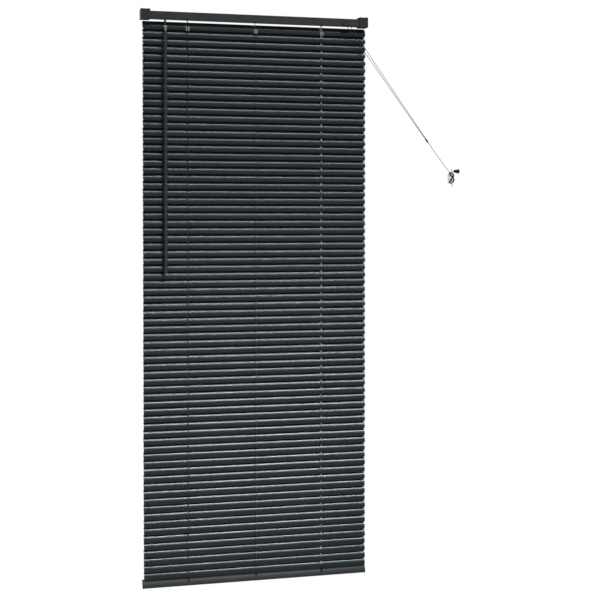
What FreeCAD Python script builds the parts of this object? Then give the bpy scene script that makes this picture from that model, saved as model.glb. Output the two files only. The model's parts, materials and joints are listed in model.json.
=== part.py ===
"""Venetian blind, 25 mm aluminium slats, lowered and closed, with its wand, pull cords and wall cleat.

Millimetres. +X runs along the headrail to the right, +Z is up, the room is at -Y and the wall is the
plane y = 0. The origin is the centre of the four wall screw holes of the two headrail brackets.
"""

import FreeCAD, Part
import math
import os

V = FreeCAD.Vector
AXIS_X = V(1, 0, 0)
AXIS_Y = V(0, 1, 0)
AXIS_Z = V(0, 0, 1)

# ---- driving dimensions ----
SPAN = 650.0  # bracket outer face to bracket outer face

BRACKET_WIDTH = 25.0
BRACKET_HEIGHT = 28.3
BRACKET_DEPTH = 31.0
BRACKET_WALL = 1.2
SCREW_R = 2.2
SCREW_SPREAD = 14.0  # between the two holes of one plate

RAIL_FRONT, RAIL_BACK = -29.0, -4.0
RAIL_BOTTOM, RAIL_TOP = -11.7, 8.25
RAIL_WALL = 0.7
RAIL_HALF = 321.0
RAIL_FLOOR = RAIL_BOTTOM + RAIL_WALL

SLAT_Y = -16.5  # plane through the slats' own axes
SLAT_WIDTH = 25.0
SLAT_LENGTH = 640.0
SLAT_THICKNESS = 0.2
SLAT_CROWN_R = 40.0
SLAT_CORNER_R = 5.0
SLAT_COUNT = 74
SLAT_PITCH = 20.81
SLAT_TOP_Z = -28.85  # axis of the first slat
CLOSED_DEG = 65.0  # slat angle from level when the blind is shut
TILTING_FIRST, TILTING_STEP = 2, 3  # slats 2, 5, 8 ... 74 are bodies of their own
ROUTE_HOLE = (2.6, 9.0)  # along and across the slat
ROUTE_SHIFT = 3.1  # the hole sits this far up the slat, where the upright cord meets the crown

LADDER_X = (-195.0, -2.1, 190.0)
STRING_HALF = 0.4
STRING_OUT = 6.2  # string from the slat plane, blind shut
RUNG_HALF = 0.3
RUNG_DROP = 0.75  # rung below the slat's chord
RUNG_SIDE = 1.8  # rungs pass either side of the lift cord

ROD_Y, ROD_Z = -15.0, 0.5
ROD_FLATS = 5.0
DRUM_HUB_R, DRUM_FLANGE_R, JOURNAL_R = 4.5, 6.2, 3.8
RUNNING_GAP = 0.06
DRUM_HALF, JOURNAL_LENGTH = 6.0, 2.2

WAND_X = -259.1
SHAFT_DEG = 20.0  # worm shaft from upright
BALL_Y, BALL_Z = -35.22, -35.7
BALL_R, SHAFT_R, NECK_R, SLEEVE_R = 2.3, 1.5, 0.9, 3.0
WORM_R, WORM_HALF, WORM_AT = 2.1, 4.4, 40.91  # WORM_AT is measured up the shaft from the ball
GEAR_R, GEAR_TEETH, GEAR_HALF = 4.4, 12, 3.5
WAND_FLATS = 8.0
WAND_TOP, WAND_BOTTOM = -48.7, -711.6
WAND_PIN_Z = -45.7

CORD_R = 0.7
LOCK_X = (250.9, 273.9)
CORD_EXIT_X = (256.7, 267.5)
CORD_EXIT_Y, CORD_EXIT_Z = -31.5, -7.5

CLEAT_X, CLEAT_Z = 588.0, -440.6
WRAP_R = 1.8
HORN_HALF = 2.15  # half the width of the cleat's post and horns

RAIL_B_Z = -1570.2  # axis of the bottom rail
RAIL_B_X = -1.6
RAIL_B_HALF = 320.4
RAIL_B_WIDTH, RAIL_B_THICK = 25.0, 9.0
RAIL_B_WALL = 0.6
KNOT_R = 2.0


# ---- helpers ----
def box(x, y, z):
    """A box from three (low, high) pairs."""
    return Part.makeBox(x[1] - x[0], y[1] - y[0], z[1] - z[0], V(x[0], y[0], z[0]))


def rod_x(x, y, z, r):
    """A cylinder along X from x[0] to x[1]."""
    return Part.makeCylinder(r, x[1] - x[0], V(x[0], y, z), AXIS_X)


def between(a, b, r):
    """A cylinder from point a to point b."""
    return Part.makeCylinder(r, a.distanceToPoint(b), a, b - a)


def fuse(shapes):
    """One solid from overlapping ones."""
    return shapes[0].multiFuse(shapes[1:]).removeSplitter()


def prism_x(points, x):
    """A prism along X whose outline is a list of (y, z)."""
    corners = [V(x[0], y, z) for y, z in points]
    face = Part.Face(Part.makePolygon(corners + corners[:1]))
    return face.extrude(V(x[1] - x[0], 0, 0))


def hex_x(x, y, z, flats):
    """A hexagonal bar along X."""
    r = flats / math.sqrt(3)
    ring = [(y + r * math.cos(math.radians(60 * i)), z + r * math.sin(math.radians(60 * i)))
            for i in range(6)]
    return prism_x(ring, x)


def mirrored(shape):
    """The same shape on the other side of x = 0."""
    return shape.mirror(V(0, 0, 0), AXIS_X)


def tilted(shape, y, z, degrees=CLOSED_DEG):
    """Turns a level slat-like shape about its own axis, then sets that axis at y, z."""
    turned = shape.copy()
    turned.rotate(V(0, 0, 0), AXIS_X, degrees)
    turned.translate(V(0, y, z))
    return turned


def cord(points, r, corners=None, name=""):
    """A round cord along straight runs joined by tangent arcs. corners gives radii set by what the
    cord bears on, by point number; every other arc is as large as its runs allow."""
    pts = [V(*p) for p in points]
    edges, start, radii = [], pts[0], []
    for i in range(1, len(pts) - 1):
        into, out = pts[i] - pts[i - 1], pts[i + 1] - pts[i]
        run = min(into.Length, out.Length)
        into.normalize()
        out.normalize()
        half = math.acos(max(-1.0, min(1.0, into.dot(out)))) / 2
        bend = (corners or {}).get(i, 0.45 * run / math.tan(half))
        back = bend * math.tan(half)
        inward = out - into
        inward.normalize()
        middle = pts[i] + inward * (bend / math.cos(half) - bend)
        begin, end = pts[i] - into * back, pts[i] + out * back
        edges += [Part.makeLine(start, begin), Part.Arc(begin, middle, end).toShape()]
        start = end
        radii.append(round(bend, 1))
    edges.append(Part.makeLine(start, pts[-1]))
    path = Part.Wire(edges)
    first = pts[1] - pts[0]
    disc = Part.Wire(Part.makeCircle(r, pts[0], first))
    solid = path.makePipeShell([disc], True, False)
    print(f"{name}: length {path.Length:.1f}, arc radii {radii}, "
          f"volume over section times length {solid.Volume / (math.pi * r * r * path.Length):.4f}")
    return solid


def slat_z(number):
    """Height of a slat's axis; slat 1 is the top one."""
    return SLAT_TOP_Z - SLAT_PITCH * (number - 1)


def export(name, shape):
    if not shape.isValid():
        print("not valid:", name)
    shape.exportStep(f"parts/{name}.step")


# ---- brackets ----
PIN_Y, PIN_Z, PIN_R, KNUCKLE_R = -29.4, 12.15, 0.75, 1.6
KNUCKLE_GAP = 0.2


def bracket_x():
    return (SPAN / 2 - BRACKET_WIDTH, SPAN / 2)


def bracket():
    """Box bracket for the right end, open to the middle and at the front."""
    x0, x1 = bracket_x()
    half, front = BRACKET_HEIGHT / 2, -BRACKET_DEPTH + 1.5
    wall = BRACKET_WALL
    end = box((x1 - wall, x1), (front, 0), (-half, half - 3.6))
    end = end.fuse(box((x1 - wall, x1), (PIN_Y + 2.2, 0), (-half, half)))
    back = box((x0, x1), (-wall, 0), (-half, half))
    top = box((x0, x1), (PIN_Y, 0), (half - wall, half))
    floor = box((x0, x1), (front, 0), (-half, half - BRACKET_HEIGHT + wall))
    ribs = [box((x0 + 1.5 + i * 17, x0 + 4.5 + i * 17), (-27.0, -5.0), (-half, RAIL_BOTTOM))
            for i in range(2)]
    knuckles = [rod_x((x0, x0 + 6.5), PIN_Y, PIN_Z, KNUCKLE_R),
                rod_x((x1 - 6.5, x1), PIN_Y, PIN_Z, KNUCKLE_R)]
    shape = fuse([end, back, top, floor] + ribs + knuckles)
    middle = (x0 + 6.5, x1 - 6.5)
    shape = shape.cut(box(middle, (-BRACKET_DEPTH, PIN_Y + 2.0), (half - 4, half)))
    shape = shape.cut(rod_x((x0, x1), PIN_Y, PIN_Z, PIN_R))
    centre = (x0 + x1) / 2
    for z in (-SCREW_SPREAD / 2, SCREW_SPREAD / 2):
        shape = shape.cut(Part.makeCylinder(SCREW_R, 4, V(centre, -3, z), AXIS_Y))
    for y in (-8.0, -8.0 - SCREW_SPREAD):
        shape = shape.cut(Part.makeCylinder(SCREW_R, 4, V(centre, y, half - 3), AXIS_Z))
    return shape


def gate():
    """Front cover of the right bracket, hinged along its top edge, with a snap lip below."""
    x0, x1 = bracket_x()
    half, face = BRACKET_HEIGHT / 2, -BRACKET_DEPTH
    plate = box((x0, x1), (face, face + BRACKET_WALL), (-half, PIN_Z - 1.85))
    middle = (x0 + 6.5 + KNUCKLE_GAP, x1 - 6.5 - KNUCKLE_GAP)
    strap = box(middle, (face, face + BRACKET_WALL), (PIN_Z - 2.5, PIN_Z))
    knuckle = rod_x(middle, PIN_Y, PIN_Z, KNUCKLE_R)
    centre = (x0 + x1) / 2
    lip = box((centre - 4, centre + 4), (face, face + 3.4), (-half + 1.35, -half + 2.1))
    shape = fuse([plate, strap, knuckle, lip])
    return shape.cut(rod_x((x0, x1), PIN_Y, PIN_Z, PIN_R + RUNNING_GAP))


# ---- headrail and what it holds ----
def headrail():
    """Channel open at the top, with turned-in lips and the outlets in its floor and front."""
    x = (-RAIL_HALF, RAIL_HALF)
    w = RAIL_WALL
    outer = box(x, (RAIL_FRONT, RAIL_BACK), (RAIL_BOTTOM, RAIL_TOP))
    shape = outer.cut(box(x, (RAIL_FRONT + w, RAIL_BACK - w), (RAIL_FLOOR, RAIL_TOP - w)))
    shape = shape.cut(box(x, (RAIL_FRONT + 3, RAIL_BACK - 3), (RAIL_TOP - 2, RAIL_TOP + 1)))
    floor = (RAIL_BOTTOM - 1, RAIL_FLOOR + 0.5)
    for centre in LADDER_X:
        shape = shape.cut(box((centre - 5, centre + 5), (SLAT_Y - 9, SLAT_Y + 9), floor))
    shape = shape.cut(box((WAND_X - 3.5, WAND_X + 3.5), (-28.2, -23.6), floor))
    window = (LOCK_X[0] + 0.8, LOCK_X[1] - 0.8)
    return shape.cut(box(window, (RAIL_FRONT - 1, -27), (RAIL_FLOOR, -3.9)))


def headrail_end_caps():
    """Two caps whose prongs push into the channel."""
    mid_y, mid_z = (RAIL_FRONT + RAIL_BACK) / 2, (RAIL_BOTTOM + RAIL_TOP) / 2
    flange = box((RAIL_HALF, RAIL_HALF + 1.5), (RAIL_FRONT, RAIL_BACK), (RAIL_BOTTOM, RAIL_TOP))
    prongs = [box((RAIL_HALF - 9, RAIL_HALF + 1), (mid_y + s - 1.2, mid_y + s + 1.2),
                  (RAIL_FLOOR + 0.2, mid_z + 4)) for s in (-10.2, 10.2)]
    web = box((RAIL_HALF - 9, RAIL_HALF + 1), (mid_y - 10.2, mid_y + 10.2),
              (RAIL_FLOOR + 0.2, RAIL_FLOOR + 1.6))
    cap = fuse([flange, web] + prongs)
    return Part.makeCompound([cap, mirrored(cap)])


def tilt_rod():
    return hex_x((WAND_X - 8.2, LADDER_X[2] + 13), ROD_Y, ROD_Z, ROD_FLATS)


def rod_socket(x):
    """The hexagonal hole of what sits on the tilt rod."""
    return hex_x(x, ROD_Y, ROD_Z, ROD_FLATS + 0.06)


def tilter_gear():
    """Worm wheel on the tilt rod, with a journal on each side."""
    x = (WAND_X - GEAR_HALF, WAND_X + GEAR_HALF)
    wheel = rod_x(x, ROD_Y, ROD_Z, GEAR_R)
    for i in range(GEAR_TEETH):
        a = 2 * math.pi * i / GEAR_TEETH
        gullet = rod_x(x, ROD_Y + (GEAR_R + 0.25) * math.cos(a), ROD_Z + (GEAR_R + 0.25) * math.sin(a), 0.62)
        wheel = wheel.cut(gullet)
    ends = (WAND_X - 7.4, WAND_X + 7.4)
    return wheel.fuse(rod_x(ends, ROD_Y, ROD_Z, JOURNAL_R - 0.4)).cut(rod_socket(ends))


def shaft_axis():
    """Direction of the worm shaft, upwards from its ball."""
    a = math.radians(SHAFT_DEG)
    return V(0, math.sin(a), math.cos(a))


def on_shaft(t):
    return V(WAND_X, BALL_Y, BALL_Z) + shaft_axis() * t


def tilter_housing():
    """Block that bears the gear's journals and the worm shaft."""
    x = (WAND_X - 7.0, WAND_X + 7.0)
    block = box(x, (-28.2, -7.6), (RAIL_FLOOR, 7.4))
    inside = (WAND_X - GEAR_HALF - 0.6, WAND_X + GEAR_HALF + 0.6)
    block = block.cut(rod_x(inside, ROD_Y, ROD_Z, GEAR_R + 0.6))
    block = block.cut(rod_x(x, ROD_Y, ROD_Z, JOURNAL_R - 0.4 + RUNNING_GAP))
    block = block.cut(between(on_shaft(20), on_shaft(WORM_AT), SHAFT_R + RUNNING_GAP))
    return block.cut(between(on_shaft(WORM_AT - WORM_HALF - 1.0), on_shaft(50), WORM_R + 0.5))


def worm_shaft():
    """Shaft with a grooved worm at the top, a sleeve below the headrail and a ball at its foot."""
    shaft = between(on_shaft(6), on_shaft(WORM_AT + WORM_HALF), SHAFT_R)
    sleeve = between(on_shaft(6.4), on_shaft(20.5), SLEEVE_R)
    neck = between(on_shaft(0), on_shaft(6.2), NECK_R)
    worm = between(on_shaft(WORM_AT - WORM_HALF), on_shaft(WORM_AT + WORM_HALF), WORM_R)
    for i in range(4):
        ring = Part.makeTorus(WORM_R + 0.2, 0.55, on_shaft(WORM_AT - 3.3 + 2.2 * i), shaft_axis())
        worm = worm.cut(ring)
    return fuse([Part.makeSphere(BALL_R, on_shaft(0)), neck, shaft, sleeve, worm])


def ladder_drums():
    """A flanged drum at each ladder, with journals for its cradle."""
    drums = []
    for centre in LADDER_X:
        half, end = DRUM_HALF, DRUM_HALF + JOURNAL_LENGTH
        hub = rod_x((centre - half, centre + half), ROD_Y, ROD_Z, DRUM_HUB_R)
        flanges = [rod_x((centre + s * (half - 0.5) - 0.5, centre + s * (half - 0.5) + 0.5),
                         ROD_Y, ROD_Z, DRUM_FLANGE_R) for s in (-1, 1)]
        journals = rod_x((centre - end, centre + end), ROD_Y, ROD_Z, JOURNAL_R)
        drum = fuse([hub, journals] + flanges)
        drums.append(drum.cut(rod_socket((centre - end, centre + end))))
    return Part.makeCompound(drums)


def drum_cradles():
    """A floor plate with a window and two bearing walls at each ladder."""
    cradles = []
    for centre in LADDER_X:
        wall_at, thick = DRUM_HALF + 0.3, 1.8
        plate = box((centre - 9.5, centre + 9.5), (-27.0, -7.6), (RAIL_FLOOR, RAIL_FLOOR + 1.2))
        plate = plate.cut(box((centre - 4.6, centre + 4.6), (SLAT_Y - 8.6, -7.0),
                              (RAIL_FLOOR - 1, RAIL_FLOOR + 2)))
        walls = [box((centre + s * (wall_at + thick / 2) - thick / 2,
                      centre + s * (wall_at + thick / 2) + thick / 2),
                     (ROD_Y - 6.5, ROD_Y + 6.0), (RAIL_FLOOR, ROD_Z + 5.6)) for s in (-1, 1)]
        shape = fuse([plate] + walls)
        bore = rod_x((centre - 12, centre + 12), ROD_Y, ROD_Z, JOURNAL_R + RUNNING_GAP)
        cradles.append(shape.cut(bore))
    return Part.makeCompound(cradles)


# ---- cord lock ----
ROLLER_Y, ROLLER_Z, ROLLER_R, ROLLER_JOURNAL_R, ROLLER_TRAVEL = -18.0, 2.2, 2.4, 1.1, 2.4


def cord_lock_housing():
    """Open box over the cords with slots for the roller, and a hooded snout through the rail's front."""
    x0, x1 = LOCK_X
    body = box((x0, x1), (-28.2, -9.4), (RAIL_FLOOR, 7.4))
    body = body.cut(box((x0 + 2, x1 - 2), (-27.0, -9.0), (-7.4, 8)))
    snout = box((x0 + 1.2, x1 - 1.2), (-35.0, -28.0), (RAIL_FLOOR + 0.1, -4.1))
    snout = snout.cut(box((x0 + 2.6, x1 - 2.6), (-33.8, -28.2), (-12, -5.3)))
    shape = body.fuse(snout)
    for x in CORD_EXIT_X:
        shape = shape.cut(box((x - 1.5, x + 1.5), (-28.6, -26.5), (-7.4, -4.4)))
    r = ROLLER_JOURNAL_R + RUNNING_GAP
    low = rod_x((x0, x1), ROLLER_Y, ROLLER_Z, r)
    high = rod_x((x0, x1), ROLLER_Y, ROLLER_Z + ROLLER_TRAVEL + 0.1, r)
    slot = box((x0, x1), (ROLLER_Y - r, ROLLER_Y + r), (ROLLER_Z, ROLLER_Z + ROLLER_TRAVEL + 0.1))
    return shape.cut(fuse([low, high, slot]))


def cord_lock_roller():
    """Knurled roller that pinches the cords, on two journals."""
    x0, x1 = LOCK_X
    roller = rod_x((x0 + 2.2, x1 - 2.2), ROLLER_Y, ROLLER_Z, ROLLER_R)
    for i in range(16):
        a = 2 * math.pi * i / 16
        y, z = ROLLER_Y + ROLLER_R * math.cos(a), ROLLER_Z + ROLLER_R * math.sin(a)
        roller = roller.cut(rod_x((x0 + 3, x1 - 3), y, z, 0.25))
    return roller.fuse(rod_x((x0 + 0.2, x1 - 0.2), ROLLER_Y, ROLLER_Z, ROLLER_JOURNAL_R))


# ---- wand ----
def wand_socket():
    """Clear coupling turned about the upright through the ball: cup, two ears and a forked stem."""
    outline = [(1.65, 1.4), (3.1, 4.2), (3.9, 4.2), (3.7, -2.6), (2.6, -4.2),
               (2.6, WAND_PIN_Z - BALL_Z - 1.2), (0, WAND_PIN_Z - BALL_Z - 1.2), (0, 1.4)]
    corners = [V(WAND_X + r, BALL_Y, BALL_Z + h) for r, h in outline]
    face = Part.Face(Part.makePolygon(corners + corners[:1]))
    cup = face.revolve(V(WAND_X, BALL_Y, BALL_Z), AXIS_Z, 360)
    for side in (-1, 1):
        ear = Part.makePolygon([V(WAND_X + side * x, BALL_Y - 1.2, BALL_Z + z) for x, z in
                                ((2.9, -3.2), (6.6, 4.2), (5.2, 4.4), (3.3, 0.4), (2.9, -3.2))])
        cup = cup.fuse(Part.Face(ear).extrude(V(0, 2.4, 0)))
    cup = cup.cut(Part.makeSphere(BALL_R + RUNNING_GAP, V(WAND_X, BALL_Y, BALL_Z)))
    mouth = Part.makeCone(1.65, 3.1, 2.8, V(WAND_X, BALL_Y, BALL_Z + 1.4), AXIS_Z)
    cup = cup.cut(mouth)
    slot = box((WAND_X - 1.15, WAND_X + 1.15), (BALL_Y - 5, BALL_Y + 5), (WAND_TOP, WAND_PIN_Z + 2.3))
    cup = cup.cut(slot)
    return cup.cut(rod_x((WAND_X - 4, WAND_X + 4), BALL_Y, WAND_PIN_Z, 0.7))


def wand_pin():
    return rod_x((WAND_X - 2.5, WAND_X + 2.5), BALL_Y, WAND_PIN_Z, 0.7)


def wand():
    """Six-sided wand with a domed foot, hung by a pierced tongue."""
    r = WAND_FLATS / math.sqrt(3)
    ring = [V(WAND_X + r * math.cos(math.radians(60 * i)), BALL_Y + r * math.sin(math.radians(60 * i)),
              WAND_BOTTOM) for i in range(6)]
    bar = Part.Face(Part.makePolygon(ring + ring[:1])).extrude(V(0, 0, WAND_TOP - WAND_BOTTOM))
    length = WAND_TOP - WAND_BOTTOM
    dome = Part.makeCone(r - 1.6, r, 3.0, V(WAND_X, BALL_Y, WAND_BOTTOM), AXIS_Z)
    trunk = Part.makeCylinder(r, length - 4.6, V(WAND_X, BALL_Y, WAND_BOTTOM + 3.0), AXIS_Z)
    crown = Part.makeCone(r, r - 1.2, 1.6, V(WAND_X, BALL_Y, WAND_TOP - 1.6), AXIS_Z)
    bar = bar.common(fuse([dome, trunk, crown]))
    tongue = box((WAND_X - 1.0, WAND_X + 1.0), (BALL_Y - 1.9, BALL_Y + 1.9), (WAND_TOP - 1, WAND_PIN_Z))
    eye = rod_x((WAND_X - 1.0, WAND_X + 1.0), BALL_Y, WAND_PIN_Z, 1.9)
    shape = fuse([bar, tongue, eye])
    return shape.cut(rod_x((WAND_X - 2, WAND_X + 2), BALL_Y, WAND_PIN_Z, 0.7 + RUNNING_GAP))


# ---- slats ----
def level_slat():
    """A crowned slat lying level, its axis on y = 0, z = 0, with rounded corners and route holes."""
    half, r = SLAT_WIDTH / 2, SLAT_CROWN_R
    rise = r - math.sqrt(r * r - half * half)
    x0 = -SLAT_LENGTH / 2

    def bow(offset):
        k = (r + offset) / r
        low = V(x0, -half * k, (r - rise) * (k - 1))
        high = V(x0, half * k, (r - rise) * (k - 1))
        return low, V(x0, 0, rise + offset), high

    top, under = bow(SLAT_THICKNESS / 2), bow(-SLAT_THICKNESS / 2)
    outline = Part.Wire([Part.Arc(*top).toShape(), Part.makeLine(top[2], under[2]),
                         Part.Arc(*reversed(under)).toShape(), Part.makeLine(under[0], top[0])])
    strip = Part.Face(outline).extrude(V(SLAT_LENGTH, 0, 0))
    plan = box((x0, x0 + SLAT_LENGTH), (-half - 1, half + 1), (-2, 4))
    upright = [e for e in plan.Edges if abs(e.tangentAt(e.FirstParameter).z) > 0.9]
    shape = strip.common(plan.makeFillet(SLAT_CORNER_R, upright))
    for x in (LADDER_X[0], LADDER_X[2]):
        wide, long = ROUTE_HOLE
        low, high = ROUTE_SHIFT - (long - wide) / 2, ROUTE_SHIFT + (long - wide) / 2
        slot = box((x - wide / 2, x + wide / 2), (low, high), (-2, 4))
        ends = [Part.makeCylinder(wide / 2, 6, V(x, y, -2), AXIS_Z) for y in (low, high)]
        shape = shape.cut(fuse([slot] + ends))
    return shape


def tilting_numbers():
    return list(range(TILTING_FIRST, SLAT_COUNT + 1, TILTING_STEP))


# ---- ladders and cords ----
def ladder(x):
    """Front and back strings with a rung under every slat, all of square section."""
    a = math.radians(CLOSED_DEG)
    reach = STRING_OUT / math.cos(a)
    top, foot = slat_z(1) + 1.0, RAIL_B_Z + 12.0
    pieces = []
    for side in (-1, 1):
        y_drum, y = ROD_Y + side * (DRUM_HUB_R + STRING_HALF + 0.1), SLAT_Y + side * STRING_OUT
        line = [(y_drum, ROD_Z), (y, top + side * reach * math.sin(a)), (y, foot)]
        outline = [(p - STRING_HALF, z) for p, z in line] + [(p + STRING_HALF, z) for p, z in reversed(line)]
        pieces.append(prism_x(outline, (x - STRING_HALF, x + STRING_HALF)))
    for number in range(1, SLAT_COUNT + 1):
        bow = RUNG_SIDE if number % 2 else -RUNG_SIDE
        line = [(0, -reach), (bow, 0), (0, reach)]
        outline = [(p - RUNG_HALF, s) for p, s in line] + [(p + RUNG_HALF, s) for p, s in reversed(line)]
        corners = [V(x + p, s, -RUNG_DROP - RUNG_HALF) for p, s in outline]
        rung = Part.Face(Part.makePolygon(corners + corners[:1])).extrude(V(0, 0, 2 * RUNG_HALF))
        pieces.append(tilted(rung, SLAT_Y, slat_z(number)))
    return pieces[0].multiFuse(pieces[1:])


def joiner_at():
    return V(507.0, -22.7, -334.2)


def joiner_axis():
    axis = V(0.6, 0.06, -0.8)
    axis.normalize()
    return axis


JOINER_HALF = 8.0


def pull_start(side):
    """Where a pull cord leaves the cord lock's hood, already on its way to the joiner."""
    exit_point = V(CORD_EXIT_X[side], CORD_EXIT_Y, CORD_EXIT_Z)
    onward = joiner_mouth(side) - exit_point
    onward.normalize()
    return exit_point + onward * 7.0


def joiner_mouth(side):
    return joiner_at() - joiner_axis() * (JOINER_HALF - 1.0) + V(0.62 * (2 * side - 1), 0, 0.4 * (2 * side - 1))


def lift_cord(side):
    """From the knot in the bottom rail, up through the slats, along the headrail and out of the lock.
    Side 0 is the left ladder's cord, which leaves the lock on the right."""
    x = LADDER_X[2 * side]
    out = 1 - side
    run_y = (-6.2, -8.0)[side]
    points = [(x, SLAT_Y, RAIL_B_Z), (x, SLAT_Y, -17.0), (x + 3.0, run_y, 3.0),
              (CORD_EXIT_X[out] - 0.4, run_y, 3.0), (CORD_EXIT_X[out], CORD_EXIT_Y, CORD_EXIT_Z),
              tuple(pull_start(out))]
    solid = cord(points, CORD_R, {1: 25.0, 2: 3.0, 3: 3.0, 4: 2.6}, ("lift_cord_left", "lift_cord_right")[side])
    return solid.fuse(Part.makeSphere(KNOT_R, V(x, SLAT_Y, RAIL_B_Z)))


def pull_cord(side):
    """One taut cord from the lock to the joiner, with the slight sag of its own weight."""
    start, end = pull_start(side), joiner_mouth(side)
    middle = (start + end) * 0.5 + V(-0.8, 0, -1.2)
    return cord([tuple(start), tuple(middle), tuple(end)], CORD_R, None, f"pull_cord_{side + 1}")


def cord_joiner():
    """Small tapered bead in which the two cords become one."""
    start = joiner_at() - joiner_axis() * JOINER_HALF
    upper = Part.makeCone(1.9, 2.6, 10.0, start, joiner_axis())
    lower = Part.makeCone(2.6, 1.2, 6.0, start + joiner_axis() * 10.0, joiner_axis())
    bead = fuse([upper, lower])
    for side in (0, 1):
        mouth = joiner_mouth(side)
        away = pull_start(side) - mouth
        away.normalize()
        bead = bead.cut(between(mouth, mouth + away * 9, CORD_R + 0.02))
    return bead


def wrap_points():
    """Centre line of the figure of eight on the cleat, as offsets from its centre with y from the wall."""
    quarter = [(3.4, 4.6, -20.4), (5.4, 8.5, -16.0), (5.2, 12.0, -11.0), (2.8, 14.8, -7.6)]
    up = quarter + [(-x, z, y) for x, z, y in reversed(quarter)]
    down = [(x, -z, y) for x, z, y in quarter] + [(-x, -z, y) for x, z, y in reversed(quarter)]
    up[-1] = (-3.4, 4.6, -24.2)
    down[0] = (3.4, -4.6, -24.2)
    return [V(CLEAT_X + x, y, CLEAT_Z + z) for x, z, y in up + down]


def cleat_wrap():
    """The bundle of turns as one closed round band, and the tail to the tassel."""
    ring = wrap_points()
    pieces = []
    for a, b in zip(ring, ring[1:] + ring[:1]):
        pieces += [between(a, b, WRAP_R), Part.makeSphere(WRAP_R, a)]
    tail = V(CLEAT_X + 2.8, -7.6, CLEAT_Z + 14.8)
    pieces.append(between(tail, V(TASSEL_X, TASSEL_Y, TASSEL_Z), 1.0))
    return fuse(pieces)


def cleat_cord():
    """The single cord from the joiner to the cleat's upper loop."""
    start = joiner_at() + joiner_axis() * JOINER_HALF
    end = V(CLEAT_X - 3.6, -8.6, CLEAT_Z + 14.2)
    middle = (start + end) * 0.5 + V(-0.2, 0, -0.3)
    return cord([tuple(start), tuple(middle), tuple(end)], CORD_R, None, "cleat_cord")


TASSEL_X, TASSEL_Y, TASSEL_Z = 595.4, -12.0, -421.3


def tassel():
    """Bell-shaped cord weight lying on its side."""
    axis = AXIS_X
    start = V(TASSEL_X, TASSEL_Y, TASSEL_Z)
    neck = Part.makeCone(2.6, 4.0, 2.0, start, axis)
    bell = Part.makeCone(4.0, 6.4, 12.5, start + axis * 2.0, axis)
    rim = Part.makeCone(6.4, 5.6, 1.5, start + axis * 14.5, axis)
    hollow = Part.makeCone(3.0, 5.0, 6.0, start + axis * 10.2, axis)
    return fuse([neck, bell, rim]).cut(hollow)


def cleat():
    """Wall cleat: base, post and two horns that bend a little away from the wall."""
    def at(x, y, z):
        return V(CLEAT_X + x, y, CLEAT_Z + z)

    base = box((CLEAT_X - 7.5, CLEAT_X + 7.5), (-3.0, 0), (CLEAT_Z - 17, CLEAT_Z + 17))
    across = [e for e in base.Edges if abs(e.tangentAt(e.FirstParameter).y) > 0.9]
    base = base.makeFillet(7.0, across)
    post = box((CLEAT_X - HORN_HALF, CLEAT_X + HORN_HALF), (-13, -2), (CLEAT_Z - 11.8, CLEAT_Z + 11.8))
    side = [(-12.0, 0), (-12.0, 16), (-13.6, 25.5), (-16.6, 25.5), (-18.0, 14), (-18.0, 0)]
    horns = [Part.Face(Part.makePolygon([at(-HORN_HALF, y, s * z) for y, z in side + side[:1]]))
             .extrude(V(2 * HORN_HALF, 0, 0)) for s in (-1, 1)]
    shape = fuse([base, post] + horns)
    for z in (-6.0, 6.0):
        shape = shape.cut(Part.makeCylinder(1.7, 22, at(0, -20, z), AXIS_Y))
        shape = shape.cut(Part.makeCone(2.0, 1.7, 0.6, at(0, -18, z), AXIS_Y))
    return shape


def ladder_clips():
    """Clear clip over the front of the first slat at each ladder, its two fingers round the edge."""
    lift = SLAT_CROWN_R - math.sqrt(SLAT_CROWN_R ** 2 - (SLAT_WIDTH / 2) ** 2)
    clips = []
    for x in LADDER_X:
        plate = prism_x([(-13.4, 0.9), (-2.6, lift + 0.7), (-2.6, lift + 1.5), (-13.4, 1.7)],
                        (x - 4.5, x + 4.5))
        fingers = [box((x + s * 3.4 - 1.1, x + s * 3.4 + 1.1), (-13.9, -13.0), (-1.2, 1.66))
                   for s in (-1, 1)]
        tips = [box((x + s * 3.4 - 1.1, x + s * 3.4 + 1.1), (-13.9, -10.8), (-2.0, -1.2))
                for s in (-1, 1)]
        notch = box((x - 1.5, x + 1.5), (-14.5, -4.5), (-3, 6))
        clips.append(tilted(fuse([plate] + fingers + tips).cut(notch), SLAT_Y, slat_z(1)))
    return Part.makeCompound(clips)


# ---- bottom rail ----
def oval_bar(half_y, half_z, x):
    """Elliptical bar along X about y = 0, z = 0."""
    oval = Part.Ellipse(V(0, 0, 0), half_y, half_z).toShape()
    oval.rotate(V(0, 0, 0), AXIS_Z, 90)
    oval.rotate(V(0, 0, 0), AXIS_Y, 90)
    oval.translate(V(x[0], 0, 0))
    return Part.Face(Part.Wire(oval)).extrude(V(x[1] - x[0], 0, 0))


def bottom_rail():
    """Hollow oval bar with a cord slot above and a plug hole below at each ladder."""
    x = (RAIL_B_X - RAIL_B_HALF, RAIL_B_X + RAIL_B_HALF)
    a, b = RAIL_B_WIDTH / 2, RAIL_B_THICK / 2
    bar = oval_bar(a, b, x).cut(oval_bar(a - RAIL_B_WALL, b - RAIL_B_WALL, x))
    for centre in LADDER_X:
        bar = bar.cut(box((centre - 2.2, centre + 2.2), (-2.2, 10.2), (0, 6)))
        bar = bar.cut(Part.makeCylinder(3.1, 6, V(centre, 0, -6), AXIS_Z))
    return tilted(bar, SLAT_Y, RAIL_B_Z)


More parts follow.
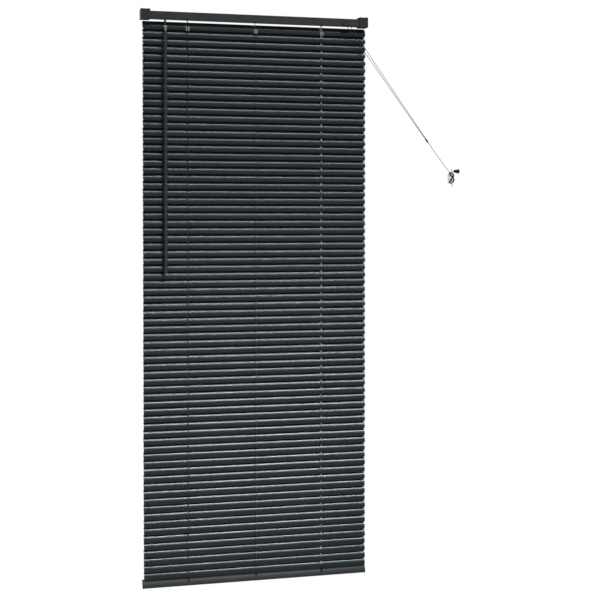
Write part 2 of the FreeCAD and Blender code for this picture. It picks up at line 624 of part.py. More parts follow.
def bottom_rail_caps():
    """A cap with a plug that pushes into each end."""
    caps = []
    a, b = RAIL_B_WIDTH / 2, RAIL_B_THICK / 2
    for side in (-1, 1):
        end = RAIL_B_X + side * RAIL_B_HALF
        flange = oval_bar(a + 0.3, b + 0.3, sorted((end, end + side * 1.6)))
        plug = oval_bar(a - RAIL_B_WALL - 0.02, b - RAIL_B_WALL - 0.02, sorted((end - side * 8, end + side)))
        caps.append(tilted(flange.fuse(plug), SLAT_Y, RAIL_B_Z))
    return Part.makeCompound(caps)


def bottom_rail_plugs():
    """Button in the underside of the rail at each ladder."""
    plugs = []
    for centre in LADDER_X:
        head = Part.makeCylinder(4.8, 1.0, V(centre, 0, -RAIL_B_THICK / 2 - 0.95), AXIS_Z)
        stem = Part.makeCylinder(3.04, 1.8, V(centre, 0, -RAIL_B_THICK / 2 - 0.1), AXIS_Z)
        plugs.append(tilted(head.fuse(stem), SLAT_Y, RAIL_B_Z))
    return Part.makeCompound(plugs)


def main():
    os.makedirs("parts", exist_ok=True)
    export("bracket_right", bracket())
    export("bracket_left", mirrored(bracket()))
    export("gate_right", gate())
    export("gate_left", mirrored(gate()))
    pin = rod_x(bracket_x(), PIN_Y, PIN_Z, PIN_R)
    export("gate_pins", Part.makeCompound([pin, mirrored(pin)]))
    export("headrail", headrail())
    export("headrail_end_caps", headrail_end_caps())
    export("tilt_rod", tilt_rod())
    export("tilter_gear", tilter_gear())
    export("tilter_housing", tilter_housing())
    export("worm_shaft", worm_shaft())
    export("ladder_drums", ladder_drums())
    export("drum_cradles", drum_cradles())
    export("cord_lock_housing", cord_lock_housing())
    export("cord_lock_roller", cord_lock_roller())
    export("wand_socket", wand_socket())
    export("wand_pin", wand_pin())
    export("wand", wand())
    for name, x in zip(("ladder_left", "ladder_middle", "ladder_right"), LADDER_X):
        export(name, ladder(x))
    export("lift_cord_left", lift_cord(0))
    export("lift_cord_right", lift_cord(1))
    export("pull_cord_1", pull_cord(0))
    export("pull_cord_2", pull_cord(1))
    export("cord_joiner", cord_joiner())
    export("cleat_cord", cleat_cord())
    export("cleat_wrap", cleat_wrap())
    export("tassel", tassel())
    export("cleat", cleat())
    export("ladder_clips", ladder_clips())
    slat = level_slat()
    moving = tilting_numbers()
    for number in moving:
        export(f"slat_{number:02d}", tilted(slat, SLAT_Y, slat_z(number)))
    still = [n for n in range(1, SLAT_COUNT + 1) if n not in moving]
    export("slats_between", Part.makeCompound([tilted(slat, SLAT_Y, slat_z(n)) for n in still]))
    export("bottom_rail", bottom_rail())
    export("bottom_rail_caps", bottom_rail_caps())
    export("bottom_rail_plugs", bottom_rail_plugs())


main()
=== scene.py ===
"""The looks of a black 25 mm venetian blind, lowered and shut, with its wand, pull cords and wall cleat.

Metres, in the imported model's frame: +X to the right along the headrail, +Z up, the wall at y = 0.
"""

import json
import math
import random

import bmesh
import bpy
import numpy as np
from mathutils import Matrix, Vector

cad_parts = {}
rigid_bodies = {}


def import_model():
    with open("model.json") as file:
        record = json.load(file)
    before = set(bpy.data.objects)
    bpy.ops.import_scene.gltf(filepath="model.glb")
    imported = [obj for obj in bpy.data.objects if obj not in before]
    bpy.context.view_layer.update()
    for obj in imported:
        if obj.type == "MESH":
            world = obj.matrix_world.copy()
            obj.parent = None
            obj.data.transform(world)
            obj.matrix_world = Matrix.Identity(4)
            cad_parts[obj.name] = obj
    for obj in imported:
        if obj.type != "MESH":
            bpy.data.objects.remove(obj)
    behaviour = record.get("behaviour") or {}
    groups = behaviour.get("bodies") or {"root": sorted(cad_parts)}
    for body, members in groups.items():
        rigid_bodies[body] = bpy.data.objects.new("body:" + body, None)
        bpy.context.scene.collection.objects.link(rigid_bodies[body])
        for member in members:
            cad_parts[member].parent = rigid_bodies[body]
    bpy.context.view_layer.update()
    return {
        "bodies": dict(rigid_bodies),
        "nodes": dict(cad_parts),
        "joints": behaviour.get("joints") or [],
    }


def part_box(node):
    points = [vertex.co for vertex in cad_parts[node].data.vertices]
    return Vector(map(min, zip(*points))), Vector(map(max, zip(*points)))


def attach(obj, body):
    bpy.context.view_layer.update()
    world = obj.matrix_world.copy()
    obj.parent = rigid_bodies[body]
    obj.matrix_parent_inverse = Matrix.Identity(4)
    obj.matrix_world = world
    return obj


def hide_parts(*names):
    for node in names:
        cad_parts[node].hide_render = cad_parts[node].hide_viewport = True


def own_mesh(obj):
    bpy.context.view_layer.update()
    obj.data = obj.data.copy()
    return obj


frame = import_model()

MM = 0.001
NODES = frame["nodes"]
JOINTS = {joint["name"]: joint for joint in frame["joints"]}
rng = random.Random(74)

# ---- what the frame says ----
CARRIERS = sorted(int(body[5:]) for body in frame["bodies"] if body.startswith("slat_"))
AXIS = {n: Vector(JOINTS[f"slat_{n:02d}_tilt"]["pos_m"]) for n in CARRIERS}
PITCH = (AXIS[CARRIERS[0]].z - AXIS[CARRIERS[1]].z) / (CARRIERS[1] - CARRIERS[0])
SLAT_COUNT = CARRIERS[-1]
SLAT_Y = AXIS[CARRIERS[0]].y
TILT = math.radians(JOINTS["tilt"]["range_deg"][1])
LADDERS = ("ladder_left", "ladder_middle", "ladder_right")
LADDER_X = [sum(corner.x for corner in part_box(name)) / 2 for name in LADDERS]
SLAT_LEFT, SLAT_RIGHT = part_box("slat_02")[0].x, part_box("slat_02")[1].x
ROD_Y, ROD_Z = JOINTS["tilt"]["pos_m"][1:]
RAIL_AXIS_Z = JOINTS["bottom_rail_tilt"]["pos_m"][2]

# ---- sizes of the thin work ----
SLAT_HALF = 12.5 * MM
SLAT_THICKNESS = 0.2 * MM
CROWN_R = 40 * MM
CORNER_R = 5 * MM
HOLE_WIDE, HOLE_LONG, HOLE_SHIFT = 2.6 * MM, 9.0 * MM, 3.1 * MM
STRING_OUT = 6.2 * MM
STRING_R = 0.42 * MM
RUNG_R = 0.3 * MM
RUNG_DROP = 0.75 * MM
RUNG_SIDE = 1.8 * MM
DRUM_R = 4.9 * MM
CORD_D = 1.4 * MM

# ---- the eye, and the softboxes: height of the row they light, elevation in degrees, power in watts ----
EYE = Vector((-0.82643, -3.5562, -0.55603))
SOFTBOX_FAR, SOFTBOX_R, SOFTBOX_CONE_DEG = 8.0, 0.5, 6.0
SOFTBOX_COLUMNS = (-0.32, 0.0, 0.32)
SOFTBOX_ROWS = [(-0.05, 69, 560), (-0.43, 66, 400), (-0.8, 61, 270), (-1.18, 53.5, 340), (-1.55, 45.5, 640)]


def slat_z(number):
    return AXIS[CARRIERS[0]].z - PITCH * (number - CARRIERS[0])


# ---- materials ----
def new_material(name):
    material = bpy.data.materials.new(name)
    material.use_nodes = True
    nodes = material.node_tree.nodes
    return material, nodes, material.node_tree.links, nodes["Principled BSDF"]


def noise(nodes, links, scale, detail=3.0, stretch=(1, 1, 1)):
    """A noise texture in object space, drawn out along the axes by stretch."""
    place = nodes.new("ShaderNodeTexCoord")
    mapping = nodes.new("ShaderNodeMapping")
    mapping.inputs["Scale"].default_value = stretch
    texture = nodes.new("ShaderNodeTexNoise")
    texture.inputs["Scale"].default_value = scale
    texture.inputs["Detail"].default_value = detail
    links.new(place.outputs["Object"], mapping.inputs["Vector"])
    links.new(mapping.outputs["Vector"], texture.inputs["Vector"])
    return texture.outputs["Fac"]


def ramp(nodes, links, factor, dark, light, low=0.3, high=0.7):
    """A colour ramp between two greys or colours."""
    node = nodes.new("ShaderNodeValToRGB")
    first, last = node.color_ramp.elements
    first.position, last.position = low, high
    first.color, last.color = (*dark, 1), (*light, 1)
    links.new(factor, node.inputs["Fac"])
    return node.outputs["Color"]


def spread(nodes, links, factor, low, high):
    """The factor remapped from 0..1 to low..high."""
    node = nodes.new("ShaderNodeMapRange")
    node.inputs["To Min"].default_value = low
    node.inputs["To Max"].default_value = high
    links.new(factor, node.inputs["Value"])
    return node.outputs["Result"]


def bump(nodes, links, height, shader, distance, strength=1.0):
    node = nodes.new("ShaderNodeBump")
    node.inputs["Distance"].default_value = distance
    node.inputs["Strength"].default_value = strength
    links.new(height, node.inputs["Height"])
    links.new(node.outputs["Normal"], shader.inputs["Normal"])


def coated(name, dark, light, roughness, grain, depth, stretch=(1, 1, 1), coat=0.0, specular=0.5):
    """Painted or moulded surface: mottled colour and gloss with a fine bump."""
    material, nodes, links, shader = new_material(name)
    mottle = noise(nodes, links, 45.0, 5.0, stretch)
    links.new(ramp(nodes, links, mottle, dark, light), shader.inputs["Base Color"])
    links.new(spread(nodes, links, mottle, *roughness), shader.inputs["Roughness"])
    shader.inputs["Coat Weight"].default_value = coat
    shader.inputs["Coat Roughness"].default_value = 0.22
    shader.inputs["Specular IOR Level"].default_value = specular
    bump(nodes, links, noise(nodes, links, grain, 2.0), shader, depth, 0.6)
    return material


def metal(name, dark, light, roughness):
    """Plated steel with faint drawing lines along X."""
    material, nodes, links, shader = new_material(name)
    lines = noise(nodes, links, 900.0, 3.0, (0.04, 1, 1))
    links.new(ramp(nodes, links, lines, dark, light), shader.inputs["Base Color"])
    links.new(spread(nodes, links, lines, *roughness), shader.inputs["Roughness"])
    shader.inputs["Metallic"].default_value = 1.0
    bump(nodes, links, lines, shader, 0.00003, 0.5)
    return material


def clear(name, dark, light, alpha):
    """Clear moulded plastic with flow marks: thin to the eye, with bright glints."""
    material, nodes, links, shader = new_material(name)
    flow = noise(nodes, links, 160.0, 3.0, (1, 1, 0.3))
    links.new(ramp(nodes, links, flow, dark, light), shader.inputs["Base Color"])
    links.new(spread(nodes, links, flow, 0.12, 0.3), shader.inputs["Roughness"])
    shader.inputs["Alpha"].default_value = alpha
    shader.inputs["IOR"].default_value = 1.49
    bump(nodes, links, flow, shader, 0.0001, 0.4)
    return material


def braid(name, dark, light, scale):
    """Braided yarn: two sets of slanted strands across each other."""
    material, nodes, links, shader = new_material(name)
    place = nodes.new("ShaderNodeTexCoord")
    strands = []
    for slant in (-1, 1):
        mapping = nodes.new("ShaderNodeMapping")
        mapping.inputs["Rotation"].default_value = (slant * 0.7, slant * 0.8, slant * 0.6)
        wave = nodes.new("ShaderNodeTexWave")
        wave.inputs["Scale"].default_value = scale
        wave.inputs["Distortion"].default_value = 0.6
        links.new(place.outputs["Object"], mapping.inputs["Vector"])
        links.new(mapping.outputs["Vector"], wave.inputs["Vector"])
        strands.append(wave.outputs["Fac"])
    weave = nodes.new("ShaderNodeMath")
    weave.operation = "MULTIPLY"
    links.new(strands[0], weave.inputs[0])
    links.new(strands[1], weave.inputs[1])
    links.new(ramp(nodes, links, weave.outputs[0], dark, light, 0.0, 0.8), shader.inputs["Base Color"])
    links.new(spread(nodes, links, weave.outputs[0], 0.9, 0.65), shader.inputs["Roughness"])
    shader.inputs["Sheen Weight"].default_value = 0.15
    shader.inputs["Specular IOR Level"].default_value = 0.25
    bump(nodes, links, weave.outputs[0], shader, 0.00015)
    return material


SLAT_PAINT = coated("slat_enamel", (0.0070, 0.0105, 0.0125), (0.0115, 0.0155, 0.0180), (0.2, 0.25), 2600,
                    0.00003, (0.15, 1, 1), 0.25)
RAIL_PAINT = coated("rail_powder", (0.037, 0.037, 0.037), (0.046, 0.046, 0.046), (0.5, 0.62), 2200, 0.00006)
BRACKET_PAINT = coated("bracket_powder", (0.027, 0.027, 0.027), (0.035, 0.035, 0.035), (0.48, 0.6), 2200,
                       0.00006)
FOOT_PAINT = coated("foot_powder", (0.028, 0.028, 0.0265), (0.036, 0.036, 0.0345), (0.42, 0.52), 2200,
                    0.00005)
WAND_PLASTIC = coated("wand_plastic", (0.036, 0.036, 0.039), (0.047, 0.047, 0.050), (0.2, 0.3), 700, 0.00004,
                      (1, 1, 0.05), 0.3)
DARK_PLASTIC = coated("dark_plastic", (0.006, 0.006, 0.006), (0.012, 0.012, 0.012), (0.35, 0.48), 1800,
                      0.00005)
NYLON = coated("nylon", (0.62, 0.62, 0.59), (0.74, 0.74, 0.71), (0.35, 0.5), 1500, 0.00004)
ZINC = metal("zinc_plate", (0.42, 0.42, 0.44), (0.62, 0.62, 0.63), (0.25, 0.42))
CLEAR = clear("clear_plastic", (0.70, 0.72, 0.72), (0.88, 0.90, 0.90), 0.34)
CORD = braid("cord_braid", (0.003, 0.003, 0.003), (0.012, 0.012, 0.0125), 900)
STRING = braid("string_braid", (0.008, 0.009, 0.009), (0.05, 0.052, 0.054), 1500)
PALE_FLOOR = coated("pale_floor", (0.80, 0.80, 0.79), (0.84, 0.84, 0.83), (0.6, 0.75), 30, 0.0005)


# ---- mesh helpers ----
def piece(name, verts, faces, material, body):
    """A shown mesh with smooth shading broken at its sharp edges, on a body."""
    mesh = bpy.data.meshes.new(name)
    mesh.from_pydata([tuple(v) for v in verts], [], faces)
    mesh.validate()
    mesh.polygons.foreach_set("use_smooth", [True] * len(mesh.polygons))
    mesh.set_sharp_from_angle(angle=math.radians(40))
    mesh.materials.append(material)
    made = bpy.data.objects.new(name, mesh)
    bpy.context.scene.collection.objects.link(made)
    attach(made, body)
    return made


def tube(path, radii, sides):
    """(verts, faces) of a closed tube along points, with a radius at each."""
    verts, faces = [], []
    points = [Vector(p) for p in path]
    for i, (point, radius) in enumerate(zip(points, radii)):
        along = (points[min(i + 1, len(points) - 1)] - points[max(i - 1, 0)]).normalized()
        side = along.cross(Vector((1, 0, 0)) if abs(along.x) < 0.8 else Vector((0, 0, 1))).normalized()
        other = along.cross(side)
        for k in range(sides):
            a = 2 * math.pi * k / sides
            verts.append(point + (side * math.cos(a) + other * math.sin(a)) * radius)
    for i in range(len(points) - 1):
        for k in range(sides):
            a, b = i * sides + k, i * sides + (k + 1) % sides
            faces.append((a, b, b + sides, a + sides))
    faces.append(tuple(reversed(range(sides))))
    faces.append(tuple(range(len(verts) - sides, len(verts))))
    return verts, faces


def joined(parts):
    """Several (verts, faces) as one."""
    verts, faces = [], []
    for more_verts, more_faces in parts:
        base = len(verts)
        verts += more_verts
        faces += [tuple(base + i for i in face) for face in more_faces]
    return verts, faces


def spline_cord(name, points, diameter, body, material=None):
    """A round cord along a smooth NURBS line with these control points."""
    curve = bpy.data.curves.new(name, "CURVE")
    curve.dimensions = "3D"
    curve.bevel_depth = diameter / 2
    curve.bevel_resolution = 3
    curve.resolution_u = 8
    curve.use_fill_caps = True
    line = curve.splines.new("NURBS")
    line.points.add(len(points) - 1)
    for spot, point in zip(line.points, points):
        spot.co = (*point, 1)
    line.order_u = 3
    line.use_endpoint_u = True
    curve.materials.append(material or CORD)
    made = bpy.data.objects.new(name, curve)
    bpy.context.scene.collection.objects.link(made)
    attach(made, body)
    return made


def shifted_with_tilt(obj, shift, share=1.0):
    """Gives the piece its own mesh when shift, scaled by share, is not nil."""
    shift = Vector(shift) * share
    length = shift.length
    if length > 1e-7:
        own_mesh(obj)


# ---- slats ----
def slat_carrier(number):
    """The tilting slat whose body a slat rides on: itself or its neighbour."""
    return min(CARRIERS, key=lambda n: abs(n - number))


def follow_carrier(obj, number):
    """The shift that would keep a piece of an in-between slat on that slat's own axis as its carrier's body
    turns, handed to shifted_with_tilt.
    """
    offset = slat_z(number) - slat_z(slat_carrier(number))
    shifted_with_tilt(obj, (0, -offset * math.sin(TILT), -offset * (1 - math.cos(TILT))))


def slat_columns():
    """Stations along the slat: dense at its rounded ends and at its two route holes."""
    stations = set()
    for k in range(7):
        inset = CORNER_R * (1 - math.cos(math.pi / 2 * k / 6))
        stations |= {SLAT_LEFT + inset, SLAT_RIGHT - inset}
    holes = (LADDER_X[0], LADDER_X[2])
    for centre in holes:
        for k in range(9):
            stations.add(centre + HOLE_WIDE / 2 * math.cos(math.pi * k / 8))
    for k in range(1, 24):
        x = SLAT_LEFT + (SLAT_RIGHT - SLAT_LEFT) * k / 24
        if all(abs(x - centre) > 2 * HOLE_WIDE for centre in holes):
            stations.add(x)
    return sorted(stations)


def slat_template():
    """A level crowned slat about its own axis: points, faces and how far along each point is."""
    columns = slat_columns()
    holes = (LADDER_X[0], LADDER_X[2])
    flat = (HOLE_LONG - HOLE_WIDE) / 2
    across = 11
    sheet = bmesh.new()
    rows = []
    for x in columns:
        inset = min(x - SLAT_LEFT, SLAT_RIGHT - x)
        short = max(0.0, CORNER_R - inset)
        half = SLAT_HALF - CORNER_R + math.sqrt(CORNER_R ** 2 - short ** 2)
        reach = flat
        for centre in holes:
            if abs(x - centre) < HOLE_WIDE / 2:
                reach = flat + math.sqrt((HOLE_WIDE / 2) ** 2 - (x - centre) ** 2)
        low, high = HOLE_SHIFT - reach, HOLE_SHIFT + reach
        ys = [-half + (low + half) * k / 5 for k in range(5)]
        ys += [low + (high - low) * k / 2 for k in range(2)]
        ys += [high + (half - high) * k / 4 for k in range(5)]
        crown = math.sqrt(CROWN_R ** 2 - SLAT_HALF ** 2)
        rows.append([sheet.verts.new((x, y, math.sqrt(CROWN_R ** 2 - y * y) - crown)) for y in ys])
    for i in range(len(columns) - 1):
        middle = (columns[i] + columns[i + 1]) / 2
        in_hole = any(abs(middle - centre) < HOLE_WIDE / 2 for centre in holes)
        for k in range(across):
            if not (in_hole and k in (5, 6)):
                sheet.faces.new((rows[i][k], rows[i + 1][k], rows[i + 1][k + 1], rows[i][k + 1]))
    sheet.normal_update()
    bmesh.ops.solidify(sheet, geom=sheet.faces[:], thickness=SLAT_THICKNESS)
    bmesh.ops.recalc_face_normals(sheet, faces=sheet.faces[:])
    sheet.verts.index_update()
    points = np.array([v.co for v in sheet.verts])
    faces = [tuple(v.index for v in face.verts) for face in sheet.faces]
    sheet.free()
    return points, faces


def tilted(points, z, extra=0.0):
    """Level points about the slat's axis, turned shut and set at height z. extra is a small twist."""
    angle = TILT + extra
    c, s = np.cos(angle), np.sin(angle)
    y, up = points[:, 1], points[:, 2]
    return np.stack([points[:, 0], SLAT_Y + y * c - up * s, z + y * s + up * c], 1)


def make_slats():
    points, faces = slat_template()
    middle = (SLAT_LEFT + SLAT_RIGHT) / 2
    along = (points[:, 0] - middle) / (SLAT_RIGHT - SLAT_LEFT) * 2
    for number in range(1, SLAT_COUNT + 1):
        twist = math.radians(rng.uniform(-0.5, 0.5)) * along + math.radians(rng.uniform(-0.4, 0.4))
        level = points.copy()
        level[:, 2] += rng.uniform(-0.12, 0.02) * MM * np.cos(along * math.pi * 2.4)
        level[:, 0] += rng.uniform(-0.35, 0.35) * MM * (np.abs(along) > 0.985)
        placed = tilted(level, slat_z(number) + rng.uniform(-0.1, 0.1) * MM, twist)
        carrier = slat_carrier(number)
        made = piece(f"painted_slat_{number:02d}", placed, faces, SLAT_PAINT, f"slat_{carrier:02d}")
        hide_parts(f"slat_{number:02d}" if number in CARRIERS else "slats_between")
        follow_carrier(made, number)


# ---- ladders ----
def make_rungs():
    """Under each slat one thread at each ladder, from string to string, round the lift cord."""
    reach = STRING_OUT / math.cos(TILT)
    for number in range(1, SLAT_COUNT + 1):
        threads = []
        for index, x in enumerate(LADDER_X):
            bow = (RUNG_SIDE if number % 2 else -RUNG_SIDE) * (index != 1)
            path = np.array([(x, -reach, -RUNG_DROP), (x + bow * 0.55, -reach * 0.55, -RUNG_DROP),
                             (x + bow, 0, -RUNG_DROP * 0.9), (x + bow * 0.55, reach * 0.55, -RUNG_DROP),
                             (x, reach, -RUNG_DROP)])
            radii = [RUNG_R * 1.5] + [RUNG_R] * 3 + [RUNG_R * 1.5]
            threads.append(tube(tilted(path, slat_z(number)), radii, 6))
        verts, faces = joined(threads)
        carrier = slat_carrier(number)
        made = piece(f"rungs_{number:02d}", verts, faces, STRING, f"slat_{carrier:02d}")
        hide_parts(*LADDERS)
        follow_carrier(made, number)


def make_strings():
    """Front and back strings of each ladder, swollen where each rung is knotted in."""
    reach = STRING_OUT / math.cos(TILT)
    rise = reach * math.sin(TILT)
    lean = RUNG_DROP * math.sin(TILT)
    foot = RAIL_AXIS_Z + 12 * MM
    for name, x in zip(LADDERS, LADDER_X):
        for side, label in ((-1, "front"), (1, "back")):
            y = SLAT_Y + side * STRING_OUT
            top = slat_z(1) + side * rise + 1 * MM
            path, radii = [(x, y, top)], [STRING_R]
            for number in range(1, SLAT_COUNT + 1):
                knot = slat_z(number) + side * rise - RUNG_DROP * math.cos(TILT)
                for step, radius in ((1.3, STRING_R), (0.6, STRING_R * 1.55), (-0.6, STRING_R * 1.55),
                                     (-1.3, STRING_R)):
                    if foot < knot + step * MM < top:
                        path.append((x, y + lean * (abs(step) < 1), knot + step * MM))
                        radii.append(radius)
            path.append((x, y, foot))
            radii.append(STRING_R)
            verts, faces = tube(path, radii, 6)
            string = piece(f"{name}_{label}_string", verts, faces, STRING, "root")
            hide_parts(name)
            shift = Vector((0, side * (reach - STRING_OUT), -side * rise))
            shifted_with_tilt(string, shift)
            make_upper_stretch(name, label, (x, ROD_Y + side * DRUM_R, ROD_Z), (x, y, top), shift)


def make_upper_stretch(name, label, drum, bend, shift):
    """The string from its drum to the first rung: one tube in front, six overlapping links behind."""
    drum, bend = Vector(drum), Vector(bend)
    if label == "front":
        verts, faces = tube([drum, bend], [STRING_R] * 2, 6)
        made = piece(f"{name}_{label}_lead", verts, faces, STRING, "root")
        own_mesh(made)
        return
    links_count = 6
    for k in range(links_count):
        start = drum.lerp(bend, max(0, k - 0.8) / links_count)
        end = drum.lerp(bend, (k + 1) / links_count)
        verts, faces = tube([start, end], [STRING_R] * 2, 6)
        made = piece(f"{name}_{label}_lead_{k + 1}", verts, faces, STRING, "root")
        shifted_with_tilt(made, shift, (k + 1) / links_count)


# ---- cords ----
PULL_ROUTES = {
    1: [(0.26095, -0.03136, -0.01306), (0.38077, -0.02724, -0.17224), (0.50219, -0.02312, -0.32901)],
    2: [(0.27165, -0.03135, -0.01314), (0.38674, -0.02724, -0.17187), (0.50343, -0.02312, -0.32821)],
}
JOINER_END = (0.51179, -0.02222, -0.34059)
CLEAT_X = (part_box("cleat")[0].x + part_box("cleat")[1].x) / 2
CLEAT_Z = (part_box("cleat")[0].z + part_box("cleat")[1].z) / 2
TASSEL_START = Vector((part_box("tassel")[0].x, (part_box("tassel")[0].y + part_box("tassel")[1].y) / 2,
                       (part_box("tassel")[0].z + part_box("tassel")[1].z) / 2))
TURNS = 5
BUNDLE_R = 1.6 * MM


def eight_points():
    """One turn of the figure of eight round the cleat's horns, from the top, about the cleat's middle."""
    right = [(2.8, -7.6, 14.8), (5.2, -11.0, 12.0), (5.4, -16.0, 8.5), (3.4, -20.4, 4.6)]
    low_left = [(-3.4, -20.4, -4.6), (-5.4, -16.0, -8.5), (-5.2, -11.0, -12.0), (-2.8, -7.6, -14.8)]
    low_right = [(2.8, -7.6, -14.8), (5.2, -11.0, -12.0), (5.4, -16.0, -8.5), (3.4, -24.2, -4.6)]
    left = [(-3.4, -24.2, 4.6), (-5.4, -16.0, 8.5), (-5.2, -11.0, 12.0), (-2.8, -7.6, 14.8)]
    return [Vector((x, y, z)) * MM for x, y, z in right + low_left + low_right + left]


def wound_points():
    """The turns laid side by side: the cord works its way round the bundle's middle line."""
    ring = eight_points()
    count = len(ring)
    route = []
    for i in range(TURNS * count):
        here, after, before = ring[i % count], ring[(i + 1) % count], ring[(i - 1) % count]
        along = (after - before).normalized()
        flat = along.cross(Vector((0, 1, 0))).normalized()
        out = flat.cross(along).normalized()
        a = 2 * math.pi * i / (TURNS * count)
        offset = (flat * math.cos(a) + out * math.sin(a)) * BUNDLE_R
        route.append(Vector((CLEAT_X, 0, CLEAT_Z)) + here + offset)
    return route


def make_cords():
    for side, length in ((1, 0.398), (2, 0.391)):
        route = PULL_ROUTES[side]
        made = spline_cord(f"taut_cord_{side}", route, CORD_D, "root")
        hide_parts(f"pull_cord_{side}")
    lead = [JOINER_END, (0.5479, -0.01541, -0.38379), (0.5828, -0.0089, -0.4250)]
    tail = [TASSEL_START + Vector((-3.2, 3.0, -2.4)) * MM, TASSEL_START + Vector((-1.2, 0.6, -0.4)) * MM,
            TASSEL_START + Vector((1.5, 0, 0)) * MM]
    wound = spline_cord("wound_cord", lead + wound_points() + tail, CORD_D, "root")
    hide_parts("cleat_cord", "cleat_wrap")


def make_lift_cords():
    """The cords that the blind holds: knot, slats, headrail and lock."""
    runs = {"left": (LADDER_X[0], -6.2 * MM, 0.2671, 2), "right": (LADDER_X[2], -8.0 * MM, 0.2563, 1)}
    for label, (x, run_y, turn_x, side) in runs.items():
        third = (run_y - SLAT_Y) / 3
        route = [(x, SLAT_Y, RAIL_AXIS_Z), (x, SLAT_Y, -0.8), (x, SLAT_Y, -0.023), (x, SLAT_Y, -0.017),
                 (x + 1 * MM, SLAT_Y + third, -0.0103), (x + 2 * MM, SLAT_Y + 2 * third, -0.0037),
                 (x + 3 * MM, run_y, 3 * MM), (x + 8 * MM, run_y, 3 * MM), (turn_x - 6 * MM, run_y, 3 * MM),
                 (turn_x, run_y - 0.5 * MM, 3 * MM), (turn_x + 0.4 * MM, -31.3 * MM, -7.3 * MM),
                 PULL_ROUTES[side][0]]
        made = spline_cord(f"held_cord_{label}", route, CORD_D, "root")
        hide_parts(f"lift_cord_{label}")


# ---- carried CAD nodes ----
def finish_node(name, material, bevel=0.0):
    """Gives a carried node its material and softly rounded edges."""
    node = NODES[name]
    node.data.materials.clear()
    node.data.materials.append(material)
    if not bevel:
        return
    weld = node.modifiers.new("weld", "WELD")
    weld.merge_threshold = 0.00001
    edge = node.modifiers.new("rounded_edges", "BEVEL")
    edge.width = bevel
    edge.segments = 2
    edge.limit_method = "ANGLE"
    edge.angle_limit = math.radians(35)
    edge.harden_normals = True


FINISHES = [
    ("headrail", RAIL_PAINT, 0.25 * MM), ("headrail_end_caps", DARK_PLASTIC, 0.2 * MM),
    ("bracket_left", BRACKET_PAINT, 0.3 * MM), ("bracket_right", BRACKET_PAINT, 0.3 * MM),
    ("gate_left", BRACKET_PAINT, 0.3 * MM), ("gate_right", BRACKET_PAINT, 0.3 * MM),
    ("gate_pins", ZINC, 0.1 * MM), ("tilt_rod", ZINC, 0.15 * MM), ("tilter_gear", NYLON, 0),
    ("tilter_housing", DARK_PLASTIC, 0.2 * MM), ("worm_shaft", DARK_PLASTIC, 0), ("ladder_drums", NYLON, 0),
    ("drum_cradles", DARK_PLASTIC, 0.15 * MM), ("cord_lock_housing", RAIL_PAINT, 0.2 * MM),
    ("cord_lock_roller", ZINC, 0), ("wand_socket", CLEAR, 0), ("wand_pin", ZINC, 0.08 * MM),
    ("wand", WAND_PLASTIC, 0.3 * MM), ("cord_joiner", DARK_PLASTIC, 0), ("tassel", DARK_PLASTIC, 0.3 * MM),
    ("cleat", CLEAR, 0.4 * MM), ("ladder_clips", CLEAR, 0.2 * MM), ("bottom_rail", FOOT_PAINT, 0),
    ("bottom_rail_caps", DARK_PLASTIC, 0.3 * MM), ("bottom_rail_plugs", DARK_PLASTIC, 0.2 * MM),
]


# ---- stage, light and camera ----
def make_stage():
    floor_z = -2.4
    verts = [(2.0 * math.cos(a), 2.0 * math.sin(a), floor_z)
             for a in (2 * math.pi * k / 64 for k in range(64))]
    mesh = bpy.data.meshes.new("floor")
    mesh.from_pydata(verts, [], [tuple(range(64))])
    mesh.materials.append(PALE_FLOOR)
    floor = bpy.data.objects.new("floor", mesh)
    bpy.context.scene.collection.objects.link(floor)


def make_world():
    """White to the eye, and a dim even grey as a source of light."""
    world = bpy.data.worlds.new("studio")
    world.use_nodes = True
    nodes, links = world.node_tree.nodes, world.node_tree.links
    nodes.clear()
    seen, dim = nodes.new("ShaderNodeBackground"), nodes.new("ShaderNodeBackground")
    mix = nodes.new("ShaderNodeMixShader")
    path, out = nodes.new("ShaderNodeLightPath"), nodes.new("ShaderNodeOutputWorld")
    seen.inputs["Color"].default_value = (1, 1, 1, 1)
    seen.inputs["Strength"].default_value = 1.0
    dim.inputs["Color"].default_value = (0.93, 0.97, 1, 1)
    dim.inputs["Strength"].default_value = 0.32
    links.new(path.outputs["Is Camera Ray"], mix.inputs["Fac"])
    links.new(dim.outputs[0], mix.inputs[1])
    links.new(seen.outputs[0], mix.inputs[2])
    links.new(mix.outputs[0], out.inputs["Surface"])
    bpy.context.scene.world = world


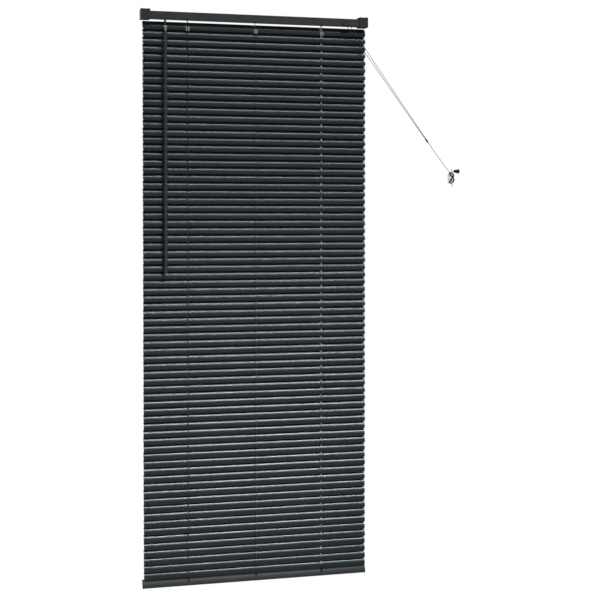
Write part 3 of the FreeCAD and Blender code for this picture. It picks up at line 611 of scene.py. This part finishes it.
def make_sun(name, towards, strength, angle_deg):
    """A distant soft light; towards points from the object to it."""
    light = bpy.data.lights.new(name, "SUN")
    light.energy = strength
    light.angle = math.radians(angle_deg)
    made = bpy.data.objects.new(name, light)
    made.rotation_euler = Vector(towards).to_track_quat("Z", "Y").to_euler()
    bpy.context.scene.collection.objects.link(made)
    return made


def make_softbox(name, target, elevation_deg, power):
    """A far round softbox for one patch of the blind, where the slats' upper edges mirror it to the eye."""
    sideways = (target.x - EYE.x) / (target - EYE).length
    a = math.radians(elevation_deg)
    towards = Vector((sideways, -math.cos(a), math.sin(a))).normalized()
    light = bpy.data.lights.new(name, "SPOT")
    light.energy = power
    light.color = (0.84, 0.94, 1.0)
    light.shadow_soft_size = SOFTBOX_R
    light.spot_size = math.radians(SOFTBOX_CONE_DEG)
    light.spot_blend = 1.0
    made = bpy.data.objects.new(name, light)
    made.location = target + towards * SOFTBOX_FAR
    made.rotation_euler = towards.to_track_quat("Z", "Y").to_euler()
    bpy.context.scene.collection.objects.link(made)


def make_lights():
    for row, (height, elevation_deg, power) in enumerate(SOFTBOX_ROWS):
        for column, x in enumerate(SOFTBOX_COLUMNS):
            target = Vector((x, SLAT_Y, height))
            make_softbox(f"softbox_{row + 1}_{column + 1}", target, elevation_deg, power)
    key = make_sun("key", (0.55, -0.78, 0.3), 0.8, 12)
    key.visible_glossy = False
    make_sun("rear_fill", (-0.5, 0.8, 0.45), 0.8, 20)


def make_camera():
    """A little to the left and nearly level, at about a third of the blind's height from its top."""
    data = bpy.data.cameras.new("camera")
    data.lens, data.sensor_width = 77.527, 36
    data.shift_y = -0.0893
    data.clip_end = 30
    camera = bpy.data.objects.new("camera", data)
    camera.location = EYE
    camera.rotation_euler = (math.radians(88.707), 0, math.radians(-15.078))
    bpy.context.scene.collection.objects.link(camera)
    bpy.context.scene.camera = camera


make_camera()
make_cords()
make_lift_cords()
make_slats()
make_rungs()
make_strings()
for node_name, node_material, node_bevel in FINISHES:
    finish_node(node_name, node_material, node_bevel)
make_stage()
make_world()
make_lights()
bpy.context.scene.view_settings.view_transform = "Standard"
